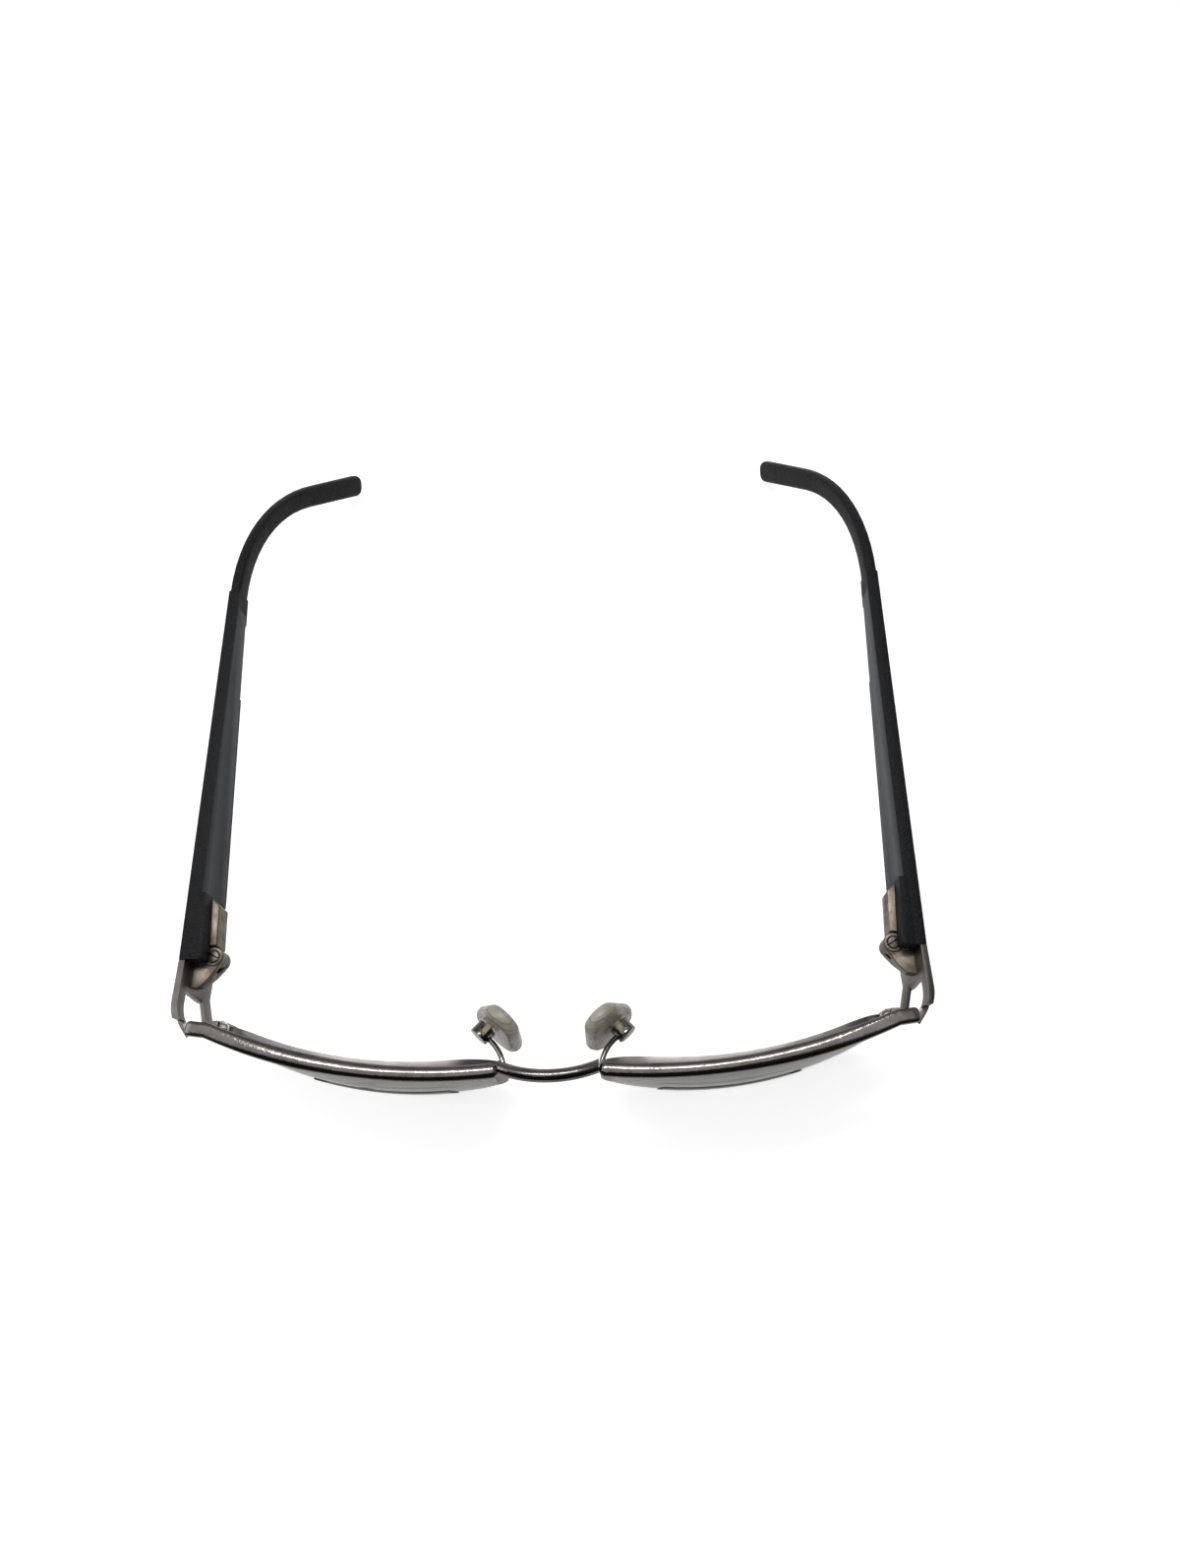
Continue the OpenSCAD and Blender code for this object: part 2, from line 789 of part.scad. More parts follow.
// Vector v of the straight part, turned with the hook
function hook_turned(v, t) =
    let (a = hook_angle(t))
    let (k = v * hook_axis)
    let (m = v * hook_down)
    hook_axis * k + hook_down * (m * cos(a)) - [0, 1, 0] * (m * sin(a)) + [0, 1, 0] * (v[1] * cos(a));

hook_len = hook_arc + tip_len;
function hook_ring(t, scale) =
    let (late = max(0, (t - 0.55 * hook_arc) / (hook_len - 0.55 * hook_arc)))
    let (thick = temple_end_t + (tip_t - temple_end_t) * late)
    let (tall = temple_end_h - 0.4 * sin(180 * min(1, t / hook_arc)) + (tip_h - temple_end_h) * late)
    ring(hook_point(t), hook_turned([1, 0, 0], t), hook_turned([0, 0, 1], t),
        scale * thick / 2, scale * tall / 2, 20, 0.4 + 0.3 * late);

module hook() {
    cap = tip_h / 2;
    steps = 18;
    loft(concat(
        [for (i = [0:steps]) hook_ring(seat_gap + (hook_len - cap - seat_gap) * i / steps, 1)],
        [for (i = [1:end_steps])
            let (a = 84 * i / end_steps)
            hook_ring(hook_len - cap + cap * sin(a), cos(a))]
    ));
}

// Rear end of the whole, and the shift that puts the middle of the length at Y 0
back_y = hook_point(hook_len)[1] + 0.8;
origin_back = (back_y + front_y) / 2;

// Plan of the temple's inner layer, from its start to the hook, between gap and depth from the outer one
function layer_plan(start, gap, depth) = [
    [split_x - gap, start],
    [split_end_x - gap, straight_len],
    [split_end_x - depth, straight_len],
    [split_x - depth, start],
];

module temple(s) {
    color([0.1, 0.1, 0.11])
        sided(s)
            difference() {
                leaning()
                    difference() {
                        blade(-temple_front, straight_len, 0, [
                            [half_width, -temple_front - over],
                            [half_width, straight_len + over],
                            [split_end_x - liner_t, straight_len + over],
                            [split_x - liner_t, -temple_front - over],
                        ]);
                        blade(
                            -temple_front - over, liner_end + seat_gap, lip,
                            layer_plan(-temple_front - 2 * over, 0, 2 * liner_t)
                        );
                        block([split_x - 2 * over, -temple_front - over, -2 * plate_h], [split_x, bed_end + seat_gap, over]);
                        block(
                            [split_x - over, core_front - seat_gap, core_low - seat_gap],
                            [core_x + core_t + seat_gap, core_end + seat_gap, core_low + core_h + seat_gap]
                        );
                    }
                pin_bore(2 * barrel_r + 8 * run_gap, hinge_low - 0.35, hinge_top + 0.35);
                case_body(run_gap);
            }
}

// Hooked end of the temple
module temple_tip(s) {
    color([0.1, 0.1, 0.11])
        sided(s)
            difference() {
                leaning()
                    hook();
                block([0, 0, -plate_top - 20], [2 * half_width, 2 * straight_len, -plate_top]);
            }
}

// Bed of the spring case: the temple's inner layer over the hinge and beside the case
module temple_bed(s) {
    front_x = half_width - temple_front_t;
    color([0.1, 0.1, 0.11])
        sided(s)
            difference() {
                leaning()
                    translate([0, 0, case_low - 0.4])
                        linear_extrude(0.4 - case_low)
                            polygon([
                                [split_x - seat_gap, -temple_front],
                                [split_x - seat_gap, bed_end],
                                [front_x + 0.6, bed_end],
                                [front_x, case_front],
                                [front_x, 0.4 - temple_front],
                                [front_x + 0.4, -temple_front],
                            ]);
                block([0, -far, -far], [half_width, case_front + run_gap, hinge_top + 0.35]);
                case_body(seat_gap);
                leaning()
                    block(
                        [split_x - over, core_front - seat_gap, core_low - seat_gap],
                        [split_x + over, core_end, core_low + core_h + seat_gap]
                    );
            }
}

// Metal core in the blade's channel, soldered to the spring case
core_front = 4;
core_end = straight_len - 6;
core_in = 0.25;
core_x = max(split_x, split_end_x) + core_in;
core_low = -plate_h / 2 - core_h / 2 + 0.2;

module temple_core(s) {
    color("silver")
        sided(s)
            difference() {
                leaning() {
                    block([core_x, core_front, core_low], [core_x + core_t, core_end, core_low + core_h]);
                    block([split_x - 0.5, core_front, core_low], [core_x + over / 2, case_len - over, core_low + core_h]);
                }
                case_body(seat_gap);
            }
}

// Smooth inner layer of the temple, from the spring case to the hook
liner_end = straight_len - 4;

module temple_liner(s) {
    color([0.2, 0.21, 0.23])
        sided(s)
            difference() {
                leaning()
                    blade(bed_end + seat_gap, liner_end, lip + seat_gap, layer_plan(-temple_front - 2 * over, seat_gap, liner_t));
                case_body(seat_gap);
            }
}

// Nose pads, round the pad's screw: X back and out, Y up, Z from the pad to its cup
pad_screw = [pad_x, pad_back - lens_ahead, pad_up - lens_down];
pad_rock = 10;
cup_low = 0.72;
pad_far = pad_t / 2 + cup_low * cos(pad_rock) + cup_d / 2 * sin(pad_rock) + run_gap;
pad_shift = 1.5;
tab_t = 1.2;
tab_r = 1.15;
pad_pin_d = 0.8;
insert_t = 0.8;
insert_r = 2.6;

module pad_frame() {
    translate(pad_screw)
        rotate([0, -pad_lean, 0])
            rotate([0, 0, -pad_splay])
                rotate([90, 0, 90])
                    children();
}

module pad_pin(d, half) {
    rotate([0, 90, 0])
        cylinder(d = d, h = 2 * half, center = true, $fn = 24);
}

module pad_cup(s) {
    color("gray")
        sided(s)
            pad_frame()
                difference() {
                    intersection() {
                        translate([0, 0, -cup_low])
                            cylinder(d = cup_d, h = cup_h, $fn = round_fn);
                        translate([0, 0, cup_h / 2 - cup_low])
                            sphere(d = 1.17 * cup_d, $fn = round_fn);
                    }
                    translate([-tab_t / 2 - 2 * run_gap, -cup_d, -cup_h])
                        cube([tab_t + 4 * run_gap, 2 * cup_d, cup_h + tab_r + 2 * run_gap]);
                    pad_pin(pad_pin_d + 2 * seat_gap, cup_d);
                }
}

module pad_screw_piece(s) {
    color("silver")
        sided(s)
            pad_frame()
                pad_pin(pad_pin_d, cup_d / 2 - 0.1);
}

module insert_shape(grow) {
    translate([-tab_t / 2 - grow, -tab_r - grow, -pad_far - insert_t / 2])
        cube([tab_t + 2 * grow, 2 * tab_r + 2 * grow, pad_far + insert_t / 2]);
    translate([-pad_shift / 2, 0, -pad_far - insert_t / 2 - grow])
        cylinder(r = insert_r + grow, h = insert_t + 2 * grow, $fn = round_fn);
}

module pad_insert(s) {
    color("khaki")
        sided(s)
            pad_frame()
                difference() {
                    union() {
                        insert_shape(0);
                        rotate([0, 90, 0])
                            cylinder(r = tab_r, h = tab_t, center = true, $fn = round_fn);
                    }
                    pad_pin(pad_pin_d + 2 * run_gap, cup_d);
                }
}

module nose_pad(s) {
    color([0.85, 0.82, 0.72])
        sided(s)
            pad_frame()
                difference() {
                    translate([-pad_shift, 0, -pad_far])
                        hull() {
                            translate([0, pad_h / 2 - pad_top_r, 0])
                                puck(pad_top_r);
                            translate([0, pad_low_r - pad_h / 2, 0])
                                puck(pad_low_r);
                        }
                    insert_shape(seat_gap);
                }
}

module puck(r) {
    cylinder(r = r, h = 0.35 * pad_t, center = true, $fn = 32);
    cylinder(r = r - 0.25 * pad_t, h = pad_t, center = true, $fn = 32);
}

// Pad arm: a wire from the back of the rim to the side of the cup
arm_v = 6.2;
module pad_arm(s) {
    start = on_ball(-lens_w / 2 - rim_out / 2, arm_v, base_r - rim_depth / 2 - 2 * seat_gap);
    end = pad_screw + [-0.55, -1.5, 0.1];
    knee = start + 2.9 * unit(ball - start);
    steps = 10;
    spine = [for (i = [0:steps])
        let (t = i / steps)
        start * (1 - t) * (1 - t) + knee * 2 * t * (1 - t) + end * t * t];
    rings = [for (i = [0:steps])
        let (along = unit(spine[min(i + 1, steps)] - spine[max(i - 1, 0)]))
        let (side = unit(cross(along, [0, 0, 1])))
        ring(spine[i], side, cross(side, along), arm_d / 2, arm_d / 2, 12)];
    color("gray")
        sided(s)
            difference() {
                loft(rings);
                pad_frame()
                    translate([0, 0, -cup_low - over])
                        cylinder(d = cup_d + 2 * seat_gap, h = cup_h + over + seat_gap, $fn = round_fn);
            }
}

bridge();
eyewire(1);  // eyewire_left
eyewire(-1);  // eyewire_right
brow_bar(1);  // brow_bar_left
brow_bar(-1);  // brow_bar_right
lens(1);  // lens_left
lens(-1);  // lens_right
rim_lock(1);  // rim_lock_left
rim_lock(-1);  // rim_lock_right
lock_screw(1);  // lock_screw_left
lock_screw(-1);  // lock_screw_right
end_piece(1);  // end_piece_left
end_piece(-1);  // end_piece_right
hinge_leaf(1);  // hinge_leaf_left
hinge_leaf(-1);  // hinge_leaf_right
hinge_knuckle(1);  // hinge_knuckle_left
hinge_knuckle(-1);  // hinge_knuckle_right
hinge_screw(1);  // hinge_screw_left
hinge_screw(-1);  // hinge_screw_right
flex_tongue(1);  // flex_tongue_left
flex_tongue(-1);  // flex_tongue_right
flex_nut(1);  // flex_nut_left
flex_nut(-1);  // flex_nut_right
flex_spring(1);  // flex_spring_left
flex_spring(-1);  // flex_spring_right
flex_stop(1);  // flex_stop_left
flex_stop(-1);  // flex_stop_right
spring_case(1);  // spring_case_left
spring_case(-1);  // spring_case_right
temple_core(1);  // temple_core_left
temple_core(-1);  // temple_core_right
temple(1);  // temple_left
temple(-1);  // temple_right
temple_tip(1);  // temple_tip_left
temple_tip(-1);  // temple_tip_right
temple_bed(1);  // temple_bed_left
temple_bed(-1);  // temple_bed_right
temple_liner(1);  // temple_liner_left
temple_liner(-1);  // temple_liner_right
pad_arm(1);  // pad_arm_left
pad_arm(-1);  // pad_arm_right
pad_cup(1);  // pad_cup_left
pad_cup(-1);  // pad_cup_right
pad_screw_piece(1);  // pad_screw_left
pad_screw_piece(-1);  // pad_screw_right
pad_insert(1);  // pad_insert_left
pad_insert(-1);  // pad_insert_right
nose_pad(1);  // nose_pad_left
nose_pad(-1);  // nose_pad_right
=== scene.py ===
import math

import bmesh
import bpy
from mathutils import Matrix, Vector


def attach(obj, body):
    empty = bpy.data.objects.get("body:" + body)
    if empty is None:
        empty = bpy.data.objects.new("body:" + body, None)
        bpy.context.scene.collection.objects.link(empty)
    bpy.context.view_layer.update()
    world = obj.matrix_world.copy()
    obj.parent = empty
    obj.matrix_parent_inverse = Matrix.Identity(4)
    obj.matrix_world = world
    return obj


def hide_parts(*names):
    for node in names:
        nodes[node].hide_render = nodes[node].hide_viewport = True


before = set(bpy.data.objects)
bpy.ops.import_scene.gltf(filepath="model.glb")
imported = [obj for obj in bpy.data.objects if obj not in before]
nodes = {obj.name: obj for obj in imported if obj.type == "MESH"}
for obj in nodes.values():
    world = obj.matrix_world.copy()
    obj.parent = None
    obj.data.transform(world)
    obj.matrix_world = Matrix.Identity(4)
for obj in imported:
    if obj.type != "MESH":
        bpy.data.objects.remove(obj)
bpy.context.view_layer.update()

# The hinge frame of the part's source, in millimetres: X out to the wearer's left, Y back from
# the hinge pin, Z up from the top of the end piece. These two values stand it on the floor.
ORIGIN_BACK = 52.3819
PLATE_TOP = 32.2101
SIDES = (("left", 1), ("right", -1))


def place(point, side=1):
    """A point of the hinge frame, in millimetres, as a place in the shared frame, in metres."""
    return Vector((side * point[0], point[1] - ORIGIN_BACK, point[2] + PLATE_TOP)) / 1000


# Camera, fitted to the photograph: sizes in pixels, angles in degrees, place in the hinge frame
PHOTO_HEIGHT, FOCAL_LENGTH, SENSOR_MM = 1594, 1149.5, 36
CAMERA_ANGLES = (-4.82, 66.47, -5.90)
CAMERA_PLACE = (15.12, -54.92, 199.2)


def look_axes(azimuth, elevation, roll):
    """Right, up and forward of a camera, from its angles in degrees."""
    azimuth, elevation, roll = (math.radians(a) for a in (azimuth, elevation, roll))
    flat = math.cos(elevation)
    forward = Vector((math.sin(azimuth) * flat, math.cos(azimuth) * flat, -math.sin(elevation)))
    level = Vector((math.cos(azimuth), -math.sin(azimuth), 0))
    above = level.cross(forward)
    right = math.cos(roll) * level + math.sin(roll) * above
    up = -math.sin(roll) * level + math.cos(roll) * above
    return right, up, forward


right, up, forward = look_axes(*CAMERA_ANGLES)
camera = bpy.data.objects.new("camera", bpy.data.cameras.new("camera"))
bpy.context.scene.collection.objects.link(camera)
camera.data.sensor_width = SENSOR_MM
camera.data.lens = SENSOR_MM * FOCAL_LENGTH / PHOTO_HEIGHT
camera.data.clip_start = 0.01
camera.matrix_world = Matrix.Translation(place(CAMERA_PLACE)) @ Matrix(
    (right, up, -forward)).transposed().to_4x4()
bpy.context.scene.camera = camera
bpy.context.scene.view_settings.view_transform = "Standard"


# Node trees
def put(tree, kind, sockets=None, **props):
    """Adds a node, sets its properties, then sets or links its inputs by name or number."""
    made = tree.nodes.new(kind)
    for name, value in props.items():
        setattr(made, name, value)
    for name, value in (sockets or {}).items():
        if isinstance(value, bpy.types.NodeSocket):
            tree.links.new(value, made.inputs[name])
        else:
            made.inputs[name].default_value = value
    return made


def sum_of(tree, operation, *values):
    """The output of a Math node over values and sockets."""
    return put(tree, "ShaderNodeMath", dict(enumerate(values)), operation=operation).outputs[0]


def noise(tree, where, scale, detail, roughness=0.5):
    """The value of a noise texture at a place."""
    return put(tree, "ShaderNodeTexNoise", {
        "Vector": where, "Scale": scale, "Detail": detail, "Roughness": roughness}).outputs[0]


def ramp(tree, value, low, high, start=0.0, end=1.0):
    """A value that goes from start to end while another goes from low to high."""
    return put(tree, "ShaderNodeMapRange", {
        0: value, 1: low, 2: high, 3: start, 4: end}).outputs[0]


def blend(tree, share, first, second):
    """A colour between two, by the share of the second."""
    return put(tree, "ShaderNodeMix", {
        0: share, 6: first, 7: second}, data_type="RGBA").outputs[2]


def new_group(kind, name, inputs, outputs):
    """An empty node group with named sockets: {name: (socket type, value)}."""
    group = bpy.data.node_groups.new(name, kind)
    for label, (socket, value) in inputs.items():
        made = group.interface.new_socket(
            label, in_out="INPUT", socket_type="NodeSocket" + socket)
        if value is not None:
            made.default_value = value
    for label, socket in outputs.items():
        group.interface.new_socket(label, in_out="OUTPUT", socket_type="NodeSocket" + socket)
    return group, group.nodes.new("NodeGroupInput"), group.nodes.new("NodeGroupOutput")


def surface_group(name, inputs):
    """A group that gives a surface its colour, roughness and height."""
    return new_group("ShaderNodeTree", name, inputs, {
        "Color": "Color", "Roughness": "Float", "Height": "Float"})


def close_surface(tree, outs, tone, rough, height):
    for label, socket in (("Color", tone), ("Roughness", rough), ("Height", height)):
        tree.links.new(socket, outs.inputs[label])


def make_plating_group():
    """Metal surface: cloudy tarnish, fine grain and rubbing."""
    tree, ins, outs = surface_group("plating", {
        "Clean": ("Color", (0.6, 0.6, 0.6, 1)), "Dull": ("Color", (0.3, 0.3, 0.3, 1)),
        "Grain Size": ("Float", 2500.0), "Roughness": ("Float", 0.2), "Spread": ("Float", 0.1),
        "Dulling": ("Float", 0.5)})
    given = ins.outputs
    where = put(tree, "ShaderNodeTexCoord").outputs["Object"]
    patches = ramp(tree, noise(tree, where, 260.0, 5.0, 0.6), 0.42, 0.72)
    grain = noise(tree, where, given["Grain Size"], 3.0, 0.65)
    dulled = sum_of(tree, "MULTIPLY", patches, given["Dulling"])
    speck = sum_of(tree, "MULTIPLY", sum_of(tree, "SUBTRACT", grain, 0.5), given["Dulling"])
    share = put(tree, "ShaderNodeClamp", {0: sum_of(tree, "ADD", dulled, speck)}).outputs[0]
    tone = blend(tree, share, given["Clean"], given["Dull"])
    rough = sum_of(tree, "MULTIPLY_ADD", share, given["Spread"], given["Roughness"])
    close_surface(tree, outs, tone, rough, grain)
    return tree


def make_grain_group():
    """Moulded plastic: pebbled cells with fine pits, rubbed on their crowns."""
    tree, ins, outs = surface_group("moulded_grain", {
        "Body": ("Color", (0.02, 0.02, 0.02, 1)), "Rubbed": ("Color", (0.06, 0.06, 0.06, 1)),
        "Cell Size": ("Float", 2200.0), "Roughness": ("Float", 0.5), "Rubbing": ("Float", 0.4)})
    given = ins.outputs
    where = put(tree, "ShaderNodeTexCoord").outputs["Object"]
    cells = put(tree, "ShaderNodeTexVoronoi", {
        "Vector": where, "Scale": given["Cell Size"], "Randomness": 0.9}).outputs[0]
    pits = noise(tree, where, 5200.0, 2.0)
    worn = ramp(tree, noise(tree, where, 180.0, 6.0, 0.7), 0.5, 0.75)
    crown = ramp(tree, cells, 0.0, 0.6, 1.0, 0.0)
    height = sum_of(tree, "MULTIPLY_ADD", pits, 0.35, crown)
    bare = sum_of(tree, "MULTIPLY", sum_of(tree, "ADD", worn, 0.25), crown)
    share = put(tree, "ShaderNodeClamp", {
        0: sum_of(tree, "MULTIPLY", bare, given["Rubbing"])}).outputs[0]
    tone = blend(tree, share, given["Body"], given["Rubbed"])
    rough = sum_of(tree, "MULTIPLY_ADD", worn, 0.12, given["Roughness"])
    close_surface(tree, outs, tone, rough, height)
    return tree


plating = make_plating_group()
moulded_grain = make_grain_group()


# Materials
def blank_material(name, constants):
    """A new material, its tree and its Principled shader with constants on its sockets."""
    made = bpy.data.materials.new(name)
    made.use_nodes = True
    shader = made.node_tree.nodes["Principled BSDF"]
    for label, value in constants.items():
        shader.inputs[label].default_value = value
    return made, made.node_tree, shader


def dress(tree, shader, tone, rough, height, bump):
    """Links a colour, a roughness and a height, bumped by a distance in metres."""
    raised = put(tree, "ShaderNodeBump", {"Height": height, "Distance": bump})
    tree.links.new(tone, shader.inputs["Base Color"])
    tree.links.new(rough, shader.inputs["Roughness"])
    tree.links.new(raised.outputs[0], shader.inputs["Normal"])


def finish_material(name, group, values, bump, constants):
    """A material that takes its colour, roughness and bump from a group."""
    made, tree, shader = blank_material(name, constants)
    marks = put(tree, "ShaderNodeGroup", values, node_tree=group)
    dress(tree, shader, *(marks.outputs[s] for s in ("Color", "Roughness", "Height")), bump)
    return made


def metal(name, clean, dull, grain, roughness, spread, dulling, bump):
    return finish_material(name, plating, {
        "Clean": (*clean, 1), "Dull": (*dull, 1), "Grain Size": grain, "Roughness": roughness,
        "Spread": spread, "Dulling": dulling}, bump, {"Metallic": 1.0})


def plastic(name, body, rubbed, cells, roughness, rubbing, bump, specular):
    return finish_material(name, moulded_grain, {
        "Body": (*body, 1), "Rubbed": (*rubbed, 1), "Cell Size": cells, "Roughness": roughness,
        "Rubbing": rubbing}, bump, {"Specular IOR Level": specular})


polished = metal(
    "polished_bar", clean=(0.165, 0.156, 0.147), dull=(0.06, 0.056, 0.052),
    grain=1800.0, roughness=0.07, spread=0.12, dulling=0.6, bump=2.4e-5)
satin = metal(
    "satin_frame", clean=(0.135, 0.127, 0.119), dull=(0.075, 0.07, 0.065),
    grain=2600.0, roughness=0.30, spread=0.14, dulling=0.6, bump=8e-6)
rim_metal = metal(
    "satin_rim", clean=(0.16, 0.156, 0.151), dull=(0.11, 0.107, 0.104),
    grain=2600.0, roughness=0.36, spread=0.12, dulling=0.4, bump=4e-6)
grained = metal(
    "grained_hinge", clean=(0.165, 0.140, 0.114), dull=(0.05, 0.042, 0.034),
    grain=3600.0, roughness=0.36, spread=0.20, dulling=1.0, bump=3.0e-5)
steel = metal(
    "turned_steel", clean=(0.10, 0.092, 0.084), dull=(0.05, 0.045, 0.04),
    grain=3000.0, roughness=0.30, spread=0.18, dulling=0.8, bump=8e-6)
brass = metal(
    "turned_brass", clean=(0.70, 0.55, 0.28), dull=(0.42, 0.31, 0.14),
    grain=2600.0, roughness=0.28, spread=0.14, dulling=0.5, bump=6e-6)
grained_black = plastic(
    "grained_black", body=(0.005, 0.0052, 0.0062), rubbed=(0.035, 0.036, 0.042),
    cells=2300.0, roughness=0.5, rubbing=0.8, bump=6.0e-5, specular=0.14)
smooth_grey = plastic(
    "smooth_charcoal", body=(0.017, 0.020, 0.025), rubbed=(0.026, 0.030, 0.037),
    cells=900.0, roughness=0.42, rubbing=0.4, bump=3e-6, specular=0.22)


def make_lens_material():
    """Plastic lens with smears, its own slight grey tint darkened with painted shade that stands
    in for the shaded floor seen through it.
    """
    made, tree, shader = blank_material("lens_glass", {
        "Transmission Weight": 1.0, "IOR": 1.2, "Specular IOR Level": 0.4})
    where = put(tree, "ShaderNodeTexCoord").outputs["Object"]
    smear = noise(tree, where, 90.0, 4.0)
    # Base colour: the lens's slight own tint plus painted shade, darker than the lens itself,
    # for the shaded floor seen through it
    own_tint_and_painted_shade = blend(tree, smear, (0.27, 0.27, 0.265, 1), (0.32, 0.32, 0.31, 1))
    tree.links.new(own_tint_and_painted_shade, shader.inputs["Base Color"])
    tree.links.new(ramp(tree, smear, 0.35, 0.75, 0.0, 0.035), shader.inputs["Roughness"])
    return made


# Middle of the pin on which a nose pad rocks, and the way from it to the middle of the rings
PAD_SCREW = Vector((12.7, -13.0, -11.4615))
SCREW_TO_RINGS = Vector((-2.6, -2.0, 0))


def make_silicone_material(name, body, stain, transmission, roughness, ring_step=0.0):
    """Clear moulded plastic, yellowed in patches, with moulded rings round the pad's middle."""
    made, tree, shader = blank_material(name, {
        "Transmission Weight": transmission, "IOR": 1.41})
    where = put(tree, "ShaderNodeTexCoord").outputs["Object"]
    aged = noise(tree, where, 260.0, 4.0, 0.6)
    share = ramp(tree, aged, 0.4, 0.7)
    height = aged
    if ring_step:
        mirrored = put(tree, "ShaderNodeVectorMath", {0: where}, operation="ABSOLUTE").outputs[0]
        middle = [abs(c) for c in place(PAD_SCREW + SCREW_TO_RINGS)]
        away = put(tree, "ShaderNodeVectorMath", {0: mirrored, 1: middle}, operation="DISTANCE")
        turns = sum_of(tree, "MULTIPLY", away.outputs["Value"], 2 * math.pi / ring_step)
        ridge = ramp(tree, sum_of(tree, "SINE", turns), 0.55, 1.0)
        height = sum_of(tree, "MULTIPLY_ADD", ridge, 2.0, aged)
        share = sum_of(tree, "MAXIMUM", share, sum_of(tree, "MULTIPLY", ridge, 0.8))
    tone = blend(tree, share, (*body, 1), (*stain, 1))
    rough = sum_of(tree, "MULTIPLY_ADD", aged, 0.15, roughness)
    dress(tree, shader, tone, rough, height, 4e-5)
    return made


lens_glass = make_lens_material()
pad_silicone = make_silicone_material(
    "pad_silicone", body=(0.62, 0.60, 0.54), stain=(0.40, 0.37, 0.30),
    transmission=0.6, roughness=0.16, ring_step=9e-4)
pad_core = make_silicone_material(
    "pad_core", body=(0.80, 0.74, 0.55), stain=(0.66, 0.56, 0.33),
    transmission=0.45, roughness=0.22)


# Pieces
def finished(name, mesh, material, body, replaced, smooth_angle=40):
    """Puts a mesh in the scene as a piece that rides on a body and stands for CAD nodes."""
    mesh.materials.clear()
    mesh.materials.append(material)
    for face in mesh.polygons:
        face.use_smooth = True
        face.material_index = 0
    mesh.set_sharp_from_angle(angle=math.radians(smooth_angle))
    made = bpy.data.objects.new(name, mesh)
    bpy.context.scene.collection.objects.link(made)
    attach(made, body)
    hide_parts(*replaced)


def reshaped(mesh, change=None):
    """The mesh after a change to its faces and edges, with its normals outward."""
    shape = bmesh.new()
    shape.from_mesh(mesh)
    if change:
        change(shape)
    bmesh.ops.recalc_face_normals(shape, faces=shape.faces)
    shape.to_mesh(mesh)
    shape.free()
    return mesh


# Where the temple meets its hooked end, and how near to it an edge counts as its seam
SEAM = place((0, 78, 0)).y
SEAM_REACH = 3e-5
# Meshes from the CAD: points merged, faces that count as one flat, edges that get rounded
MERGE_REACH = 2e-6
FLAT_ANGLE = math.radians(0.8)
SHARP_ANGLE = math.radians(30)


def at_seam(edge):
    """Whether an edge lies in the plane where the temple meets its hooked end."""
    return all(abs(v.co.y - SEAM) < SEAM_REACH for v in edge.verts)


def rounded(node, width):
    """A copy of a CAD node's mesh with its triangles merged, flats made whole, edges rounded."""
    def round_edges(shape):
        bmesh.ops.remove_doubles(shape, verts=shape.verts, dist=MERGE_REACH)
        bmesh.ops.dissolve_limit(
            shape, angle_limit=FLAT_ANGLE, use_dissolve_boundaries=False,
            verts=shape.verts, edges=shape.edges, delimit=set())
        sharp = [e for e in shape.edges if len(e.link_faces) == 2
                 and e.calc_face_angle() > SHARP_ANGLE and not at_seam(e)]
        bmesh.ops.bevel(
            shape, geom=sharp, offset=width, offset_type="OFFSET", segments=3, profile=0.5,
            affect="EDGES", clamp_overlap=True)

    mesh = nodes[node].data.copy()
    mesh.name = "rounded_" + node
    return reshaped(mesh, round_edges)


def lofted(name, rings):
    """A closed mesh over rings of equal counts, in metres."""
    count = len(rings[0])
    points = [p for ring in rings for p in ring]
    faces = []
    for low in range(0, (len(rings) - 1) * count, count):
        high = low + count
        for i in range(count):
            after = (i + 1) % count
            faces.append((low + i, low + after, high + after, high + i))
    last = (len(rings) - 1) * count
    faces += [tuple(range(count))[::-1], tuple(range(last, last + count))]
    mesh = bpy.data.meshes.new(name)
    mesh.from_pydata(points, [], faces)
    return reshaped(mesh)


def bent(value, power):
    """A value to a power, with its sign kept."""
    return math.copysign(abs(value) ** power, value)


def oval(centre, across, upward, half_across, half_up, count, power):
    """A squared oval of points round a centre, in the plane of two directions."""
    turns = [2 * math.pi * i / count for i in range(count)]
    return [
        centre + across * (half_across * bent(math.cos(turn), power))
        + upward * (half_up * bent(math.sin(turn), power))
        for turn in turns]


def eased(t):
    """A smooth step from 0 to 1."""
    t = min(1, max(0, t))
    return t * t * (3 - 2 * t)


# Brow bars: the source's middle line, with a flat, squarer outer third and rounded ends
LENS_X, LENS_AHEAD, LENS_DOWN = 35.25, 21.5, 16.4615
BROW_START, BROW_KNEE, BROW_END, BROW_END_Y = 8.8, 61.25, 65.2424, -13.7588
BROW_R, BROW_SIDE, BROW_AHEAD = 105.0, 20.0, 1.25
BROW_ARCH_R, BROW_LEVEL = 400.0, 0.35
# Their section: depth, what the widest place adds to it, half the height, and its squareness
BAR_DEPTH, BAR_SWELL, BAR_HALF_UP = 2.7, 0.3, 0.86
ROUND_POWER, SQUARE_POWER = 0.92, 0.50
# Shares of the length: the widest place, where the bar turns square, and what each takes
WIDEST, SQUARE_FROM, EASING = 0.68, 0.62, 0.3
# Their ends: how far each is rounded, and how small the last ring is
INNER_ROUND, OUTER_ROUND, LAST_RING = 1.1, 0.9, 0.12
INNER_STEPS, BODY_STEPS, OUTER_STEPS, OVAL_POINTS = 8, 56, 5, 36


def brow_arc(x):
    return BROW_R - LENS_AHEAD - BROW_AHEAD - math.sqrt(BROW_R ** 2 - (x - BROW_SIDE) ** 2)


